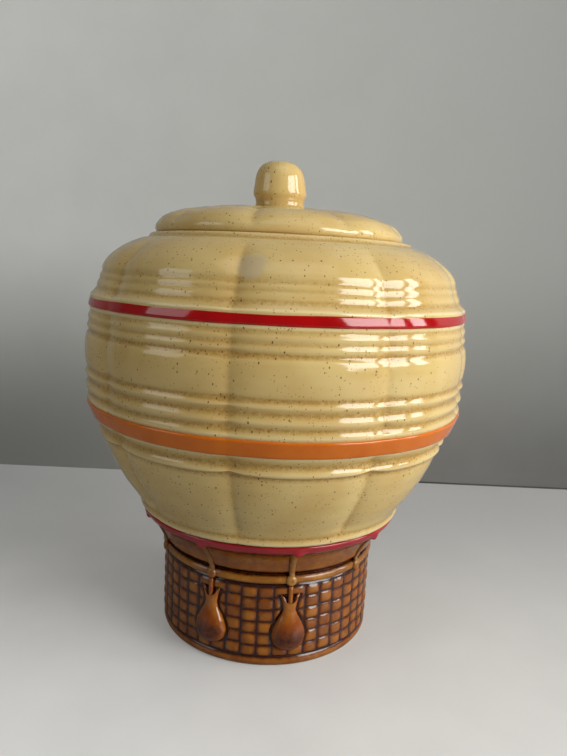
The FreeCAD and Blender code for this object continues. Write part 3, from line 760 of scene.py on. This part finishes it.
def bag_surface():
    """A sandbag in relief: a pear-shaped pouch with its mouth drawn up into two ears.

    Across, it is the half width times the cosine of the angle round it, and outwards six
    tenths of that times the sine; the mouth rises with the square of the cosine.
    """
    step = np.linspace(0, 1, 30)
    height = BAG_BASE + 28.8 * np.sin(np.pi / 2 * step) ** 1.5
    width = np.maximum(bag_half_width(height), 0.25)
    width[0] = 0.4
    angle = np.radians(np.linspace(0, 360, 36, endpoint=False))[None, :]
    mouth = smooth_step(BAG_BASE + 22, BAG_BASE + 28, height)[:, None]
    rise = mouth * (1.2 * np.cos(angle) ** 2 - 3.2 * np.sin(angle) ** 2)
    up = height[:, None] + rise
    aside = width[:, None] * np.cos(angle)
    out = 58.9 + 0.6 * width[:, None] * np.sin(angle) * (1 - 0.25 * mouth)
    points = turned(out, aside / 60, up)
    tuck = turned(58.9 + 0.3 * width[-1] * np.sin(angle), 0.5 * aside[-1:] / 60, up[-1:] - 1.6)
    edge = np.abs(np.cos(angle)) ** 6
    low = np.exp(-(((height - BAG_BASE - 7) / 6.5) ** 2))[:, None]
    pool = np.clip(0.15 + 0.6 * low * (1 - edge) + 0 * edge, 0, 1)
    thin = np.clip(edge * 0.8 + 0 * low, 0, 1)
    values = {"pool": np.vstack([pool, 1 + 0 * angle]), "thin": np.vstack([thin, 0 * angle])}
    return closed_grid(np.vstack([points, tuck]), values)


def string_surface():
    """The string between a knot and its sandbag: a short round cord."""
    height = np.linspace(BAG_BASE + 24, STRING_TOP, 8)[:, None]
    angle = np.radians(np.linspace(0, 360, 12, endpoint=False))[None, :]
    points = turned(59.7 + 1.15 * np.sin(angle), -1.2 * np.cos(angle) / 60, height + 0 * angle)
    values = {"pool": 0.3 + 0 * angle + 0 * height, "thin": 0.3 + 0 * angle + 0 * height}
    return closed_grid(points, values)


# The lid


def lid_outline():
    """The lid, from under its middle out round the flange and rim and up to the knob's top."""
    seat, top = JAR_TOP, LID_TOP
    return [
        (3.0, seat + 9.2), (26.0, seat + 9.0), (46.5, seat + 4.8), (48.5, seat + 3.6),
        (48.5, seat - 11.2), (49.4, seat - 12.0), (52.3, seat - 12.0), (53.3, seat - 11.2),
        (53.3, seat - 0.3), (54.0, seat + 0.02), (64.7, seat + 0.02), (65.9, seat + 0.9),
        (LID_RADIUS, seat + 2.4), (LID_RADIUS - 0.3, seat + 4.3), (LID_RADIUS - 1.9, seat + 6.4),
        (62.3, seat + 8.6), (59.2, seat + 10.2), (53.2, seat + 12.2), (43.0, seat + 14.0),
        (30.0, seat + 15.0), (20.0, seat + 15.2), (15.0, seat + 15.4), (13.4, seat + 16.3),
        (12.9, seat + 18.0), (13.0, seat + 20.2), (13.5, seat + 21.8), (14.3, seat + 22.8),
        (14.3, seat + 24.6), (13.9, seat + 26.6), (13.3, seat + 31.0), (12.8, seat + 33.6),
        (11.7, seat + 36.2), (9.6, seat + 38.6), (6.4, seat + 40.2), (3.2, top - 0.1), (0.6, top),
    ]


def lid_surface():
    """The lid as a closed shell: its outline less flutes in line with the balloon's creases.

    It lies a little to the left in the slack of its flange, and its knob was set on leaning.
    """
    line = rounded_run(lid_outline(), 1.15, 0.9)
    compass, share = gore_columns(40)
    heights = JAR_TOP + np.array([0.5, 3.0, 6.5, 10.0, 13.5, 15.3])
    depth = np.interp(line[:, 1], heights, [0, 0.35, 1.5, 1.8, 1.0, 0.0])
    depth = depth * (line[:, 0] > 16) * (np.arange(len(line)) > np.argmax(line[:, 0]) - 3)
    dip = crease(share, 0.3)[None, :] * depth[:, None]
    normal = outward(line)
    radius = line[:, :1] - dip * normal[:, :1]
    height = line[:, 1:] - dip * normal[:, 1:]
    hollow = hollow_depth(line, 5.0)
    hollow[: np.argmax(line[:, 0]) - 2] = 0
    crease_pool = np.exp(-(((1 - share) / 0.15) ** 2))[None, :] * depth[:, None] / 1.8
    # At the seat the rim is darker: the bare unglazed edge, with painted shade in the joint with the collar.
    bare_edge_and_shade = np.exp(-(((line[:, 1] - JAR_TOP) / 0.7) ** 2)) * (line[:, 0] > 60)
    pool = np.clip(hollow[:, None] / 0.9 + 0.4 * crease_pool + bare_edge_and_shade[:, None], 0, 1)
    thin = np.clip(-hollow / 0.9 - 0.3, 0, 1) * 0.35
    values = {"pool": pool, "thin": thin[:, None] + 0 * pool}
    points = turned(radius, compass[None, :], height)
    points[..., 0] -= LID_SHIFT * MM + 0.03 * np.maximum(points[..., 2] - JAR_TOP * MM, 0)
    return closed_grid(points, values)


# Sizes and colours that a user would change


class JarColours(bpy.types.PropertyGroup):
    """Glaze and enamel colours, as sRGB hex."""

    cream: StringProperty(name="Cream", description="Cream glaze", default="#DDC280")
    warm_cream: StringProperty(name="Warm cream", description="Thicker cream glaze", default="#D3B26E")
    pale_cream: StringProperty(name="Pale cream", description="Thin glaze on ribs", default="#EBD7A2")
    # tan also colours the painted shade at the lid's seat.
    tan: StringProperty(name="Tan", description="Glaze pooled in grooves", default="#AC8236")
    tan_speck: StringProperty(name="Faint speck", description="Faint iron specks", default="#8A5F26")
    iron_speck: StringProperty(name="Iron speck", description="Dark iron specks", default="#5A3C1E")
    red: StringProperty(name="Red", description="Wide band at the shoulder", default="#B20003")
    orange: StringProperty(name="Orange", description="Lower band", default="#D8700A")
    crimson: StringProperty(name="Crimson", description="Thin line over the basket", default="#A8202C")
    amber: StringProperty(name="Amber", description="Thin glaze on the weave", default="#A6661C")
    brown: StringProperty(name="Brown", description="Honey glaze of middling depth", default="#80430C")
    # dark also colours the painted shade in the basket's crevices and under the balloon.
    dark: StringProperty(name="Dark brown", description="Glaze pooled in the weave", default="#341205")


class StageSettings(bpy.types.PropertyGroup):
    """Where the camera and the lamps stand."""

    camera_height: FloatProperty(
        name="Camera height", description="Lens above the table", default=0.2019, unit="LENGTH"
    )
    camera_distance: FloatProperty(
        name="Camera distance", description="Lens to the jar's axis", default=0.3637, unit="LENGTH"
    )
    camera_pitch: FloatProperty(
        name="Camera tilt", description="Degrees that the lens looks down", default=9.62
    )
    camera_roll: FloatProperty(name="Camera roll", description="Degrees of roll", default=2.82)
    camera_yaw: FloatProperty(name="Camera yaw", description="Degrees turned towards +X", default=0.75)
    focal_pixels: FloatProperty(
        name="Focal length", description="In pixels of a picture 756 pixels high", default=654.0
    )
    wall_distance: FloatProperty(
        name="Wall distance", description="Jar's axis to the wall behind", default=0.25, unit="LENGTH"
    )
    room_light: FloatProperty(name="Room light", description="Strength of the even light", default=0.1)
    room_mirrored: FloatProperty(
        name="Mirrored room", description="Strength of the even light in reflections", default=0.1
    )
    window_light: FloatProperty(
        name="Window light", description="Power of the near window", default=13.3, unit="POWER"
    )


# Operators


class BISCUITJAR_OT_stage(bpy.types.Operator):
    """Lay the table and wall, hang the lamps and set up the camera"""

    bl_idname = "biscuitjar.stage"
    bl_label = "Stage"

    def execute(self, context):
        stage = context.scene.biscuitjar_stage
        lay_table_and_wall(stage)
        light_room(context.scene, stage)
        set_camera(context.scene, stage)
        return {"FINISHED"}


class BISCUITJAR_OT_balloon(bpy.types.Operator):
    """Cast the ribbed balloon and glaze it cream"""

    bl_idname = "biscuitjar.balloon"
    bl_label = "Balloon"

    def execute(self, context):
        glaze = cream_glaze(context.scene.biscuitjar_colours, worn=True)
        make_piece("balloon_shell", balloon_surface(), [glaze], ["envelope"])
        return {"FINISHED"}


class BISCUITJAR_OT_bands(bpy.types.Operator):
    """Brush on the red, orange and crimson enamel"""

    bl_idname = "biscuitjar.bands"
    bl_label = "Enamel bands"

    def execute(self, context):
        colours = context.scene.biscuitjar_colours
        red = enamel("red_enamel", colours.red, "#9C0002")
        orange = enamel("orange_enamel", colours.orange, "#CC6404")
        crimson = enamel("crimson_enamel", colours.crimson, "#8A1620")
        make_piece("red_enamel_band", red_surface(), [red], ["red_band"])
        make_piece("orange_enamel_band", orange_surface(), [orange], ["orange_band"])
        make_piece("crimson_enamel_line", crimson_surface(), [crimson], ["crimson_line"])
        return {"FINISHED"}


class BISCUITJAR_OT_basket(bpy.types.Operator):
    """Cast the woven basket and its rope rail under honey glaze"""

    bl_idname = "biscuitjar.basket"
    bl_label = "Basket"

    def execute(self, context):
        colours = context.scene.biscuitjar_colours
        honey = brown_glaze("honey_glaze", colours.amber, colours.brown, colours.dark)
        surface, zones = basket_surface()
        glazes = [honey, cream_glaze(colours), bare_clay()]
        make_piece("woven_basket", surface, glazes, ["basket"], zones=zones)
        rail = brown_glaze("amber_glaze", "#AC7224", "#8A5216", colours.dark)
        make_piece("rope_rail_roll", rail_surface(), [rail], ["rope_rail"])
        return {"FINISHED"}


class BISCUITJAR_OT_ropes(bpy.types.Operator):
    """Lay the ropes down the skirt and knot each on the rail"""

    bl_idname = "biscuitjar.ropes"
    bl_label = "Ropes and knots"

    def execute(self, context):
        colours = context.scene.biscuitjar_colours
        glaze = brown_glaze("rope_honey_glaze", "#A9793A", "#8A5518", colours.dark)
        parts = []
        for rope in range(GORES):
            heading = ROPE_FRONT + ROPE_STEP * rope
            head_lean = 1.2 * math.sin(2.4 * rope + 4.2)
            parts.append(swung(strap_surface(head_lean, -0.4 * head_lean), heading))
            parts.append(swung(knot_surface(), heading))
        make_piece("ropes_and_knots", joined(parts), [glaze], ["rope_straps"])
        return {"FINISHED"}


class BISCUITJAR_OT_sandbags(bpy.types.Operator):
    """Hang the sandbags on their strings"""

    bl_idname = "biscuitjar.sandbags"
    bl_label = "Sandbags"

    def execute(self, context):
        colours = context.scene.biscuitjar_colours
        glaze = brown_glaze("sandbag_glaze", "#AE6C26", "#86400C", colours.dark)
        parts = []
        for rope in BAG_ROPES:
            parts.append(swung(bag_surface(), ROPE_FRONT + ROPE_STEP * rope))
            parts.append(swung(string_surface(), ROPE_FRONT + ROPE_STEP * rope))
        make_piece("hanging_sandbags", joined(parts), [glaze], ["sandbags"])
        return {"FINISHED"}


class BISCUITJAR_OT_lid(bpy.types.Operator):
    """Cast the fluted lid with its bell-shaped knob"""

    bl_idname = "biscuitjar.lid"
    bl_label = "Lid"

    def execute(self, context):
        glaze = cream_glaze(context.scene.biscuitjar_colours)
        make_piece("fluted_lid", lid_surface(), [glaze], ["lid"], body="lid")
        return {"FINISHED"}


class BISCUITJAR_PT_sidebar(bpy.types.Panel):
    """Buttons for each group of pieces, and the sizes and colours they read"""

    bl_label = "Biscuit jar"
    bl_idname = "BISCUITJAR_PT_sidebar"
    bl_space_type = "VIEW_3D"
    bl_region_type = "UI"
    bl_category = "Biscuit jar"

    def draw(self, context):
        for operator in OPERATORS:
            self.layout.operator(operator.bl_idname)
        for group in (context.scene.biscuitjar_colours, context.scene.biscuitjar_stage):
            for name in type(group).__annotations__:
                self.layout.prop(group, name)


# Stage


def flat_sheet(name, corners, material):
    """A flat four-cornered sheet of the stage."""
    mesh = bpy.data.meshes.new(name)
    mesh.from_pydata(corners, [], [(0, 1, 2, 3)])
    mesh.materials.append(material)
    sheet = bpy.data.objects.new(name, mesh)
    bpy.context.scene.collection.objects.link(sheet)


def lay_table_and_wall(stage):
    """A pale table top, and a pale wall behind it that can be seen from the front only."""
    far, wide = stage.wall_distance, 2.0
    # The table is painted darker towards the back and the right as painted shade, and glows faintly to the
    # camera as painted light.
    table = stage_paint("painted_table", "#F0F0EE", "#B2B2B0", "Y", -0.22, 0.22, 0.42, 0.24, right="#D4D4D4")
    flat_sheet("table_top", [(-wide, -wide, 0), (wide, -wide, 0), (wide, far, 0), (-wide, far, 0)], table)
    # The wall is painted darker towards the bottom and the right as painted shade, and glows faintly to the
    # camera as painted light.
    wall = stage_paint("painted_wall", "#94948F", "#DADCD8", "Z", 0.0, 0.24, 0.8, 0.08, right="#868686")
    tree = wall.node_tree
    behind = add(tree, "ShaderNodeNewGeometry").outputs["Backfacing"]
    clear = add(tree, "ShaderNodeBsdfTransparent").outputs[0]
    paint = tree.nodes["Principled BSDF"].outputs[0]
    shown = add(tree, "ShaderNodeMixShader", {0: behind, 1: paint, 2: clear}).outputs[0]
    tree.links.new(shown, tree.nodes["Material Output"].inputs["Surface"])
    corners = [(-wide, far, -0.02), (wide, far, -0.02), (wide, far, wide), (-wide, far, wide)]
    flat_sheet("back_wall", corners, wall)
    # A thin dark strip at the foot of the wall, a painted shadow where the table meets it.
    gap = stage_paint("shadow_gap", "#3A3A38", "#3A3A38", "Z", 0.0, 1.0, 0.9, 0.0)
    front, high = far - 0.0005, 0.0018
    corners = [(0.03, front, 0.0005), (wide, front, 0.0005), (wide, front, high), (0.12, front, high)]
    flat_sheet("painted_shadow_strip", corners, gap)


def hang_lamp(name, compass, rise, distance, width, height, power, colour):
    """An area lamp that faces the jar from a compass angle and a rise in degrees."""
    lamp = bpy.data.lights.new(name, "AREA")
    lamp.shape = "RECTANGLE"
    lamp.size, lamp.size_y = width, height
    lamp.energy = power
    lamp.color = colour
    holder = bpy.data.objects.new(name, lamp)
    holder.visible_camera = False
    turn, lift = math.radians(compass), math.radians(rise)
    back = Vector((math.sin(turn) * math.cos(lift), -math.cos(turn) * math.cos(lift), math.sin(lift)))
    holder.location = Vector((0, 0, 0.15)) + distance * back
    holder.rotation_euler = back.to_track_quat("Z", "Y").to_euler()
    bpy.context.scene.collection.objects.link(holder)


def light_room(scene, stage):
    """Even room light with a near window on the right and a dimmer one on the left."""
    world = bpy.data.worlds.new("room")
    scene.world = world
    world.use_nodes = True
    tree = world.node_tree
    room = tree.nodes["Background"]
    room.inputs["Color"].default_value = (1.0, 1.0, 0.98, 1.0)
    room.inputs["Strength"].default_value = stage.room_light
    sockets = {"Color": (1, 1, 1, 1), "Strength": stage.room_mirrored}
    mirrored = add(tree, "ShaderNodeBackground", sockets).outputs[0]
    seen = add(tree, "ShaderNodeBackground", {"Color": linear("#B4B6B4"), "Strength": 1.0}).outputs[0]
    path = add(tree, "ShaderNodeLightPath").outputs
    sockets = {0: path["Is Glossy Ray"], 1: room.outputs[0], 2: mirrored}
    lit = add(tree, "ShaderNodeMixShader", sockets).outputs[0]
    shown = add(tree, "ShaderNodeMixShader", {0: path["Is Camera Ray"], 1: lit, 2: seen}).outputs[0]
    tree.links.new(shown, tree.nodes["World Output"].inputs["Surface"])
    power = stage.window_light
    hang_lamp("window_right", 55, 19, 1.3, 0.72, 0.64, power, (1.0, 0.99, 0.97))
    hang_lamp("window_right_side", 84, 19, 1.3, 0.26, 0.64, power * 0.36, (1.0, 0.99, 0.97))
    hang_lamp("window_left", -64, 20, 1.3, 0.6, 0.6, power * 0.15, (0.97, 0.99, 1.0))
    hang_lamp("ceiling", 15, 68, 1.8, 1.4, 1.4, power * 0.35, (1.0, 1.0, 1.0))


def set_camera(scene, stage):
    """Place the camera that took the view, from its tilt, roll and yaw."""
    pitch, roll, yaw = (math.radians(v) for v in (stage.camera_pitch, stage.camera_roll, stage.camera_yaw))
    level = Vector((math.sin(yaw), math.cos(yaw), 0))
    right = Vector((math.cos(yaw), -math.sin(yaw), 0))
    up = level * math.sin(pitch) + Vector((0, 0, math.cos(pitch)))
    ahead = level * math.cos(pitch) - Vector((0, 0, math.sin(pitch)))
    right, up = (
        right * math.cos(roll) + up * math.sin(roll),
        up * math.cos(roll) - right * math.sin(roll),
    )
    lens = bpy.data.cameras.new("camera")
    lens.sensor_width = 36
    lens.lens = lens.sensor_width * stage.focal_pixels / 756
    camera = bpy.data.objects.new("camera", lens)
    turn = Matrix((right, up, -ahead)).transposed()
    camera.matrix_world = Matrix.Translation((0, -stage.camera_distance, stage.camera_height)) @ turn.to_4x4()
    lens.clip_start = 0.01
    scene.collection.objects.link(camera)
    scene.camera = camera
    scene.view_settings.view_transform = "Standard"


# Making

OPERATORS = (
    BISCUITJAR_OT_stage,
    BISCUITJAR_OT_balloon,
    BISCUITJAR_OT_bands,
    BISCUITJAR_OT_basket,
    BISCUITJAR_OT_ropes,
    BISCUITJAR_OT_sandbags,
    BISCUITJAR_OT_lid,
)
CLASSES = (JarColours, StageSettings, *OPERATORS, BISCUITJAR_PT_sidebar)


def register():
    for kind in CLASSES:
        bpy.utils.register_class(kind)
    bpy.types.Scene.biscuitjar_colours = PointerProperty(type=JarColours)
    bpy.types.Scene.biscuitjar_stage = PointerProperty(type=StageSettings)


def unregister():
    del bpy.types.Scene.biscuitjar_stage
    del bpy.types.Scene.biscuitjar_colours
    for kind in reversed(CLASSES):
        bpy.utils.unregister_class(kind)


def main():
    """Make everything in order."""
    register()
    for operator in OPERATORS:
        group, name = operator.bl_idname.split(".")
        getattr(getattr(bpy.ops, group), name)()


if __name__ == "__main__":
    main()
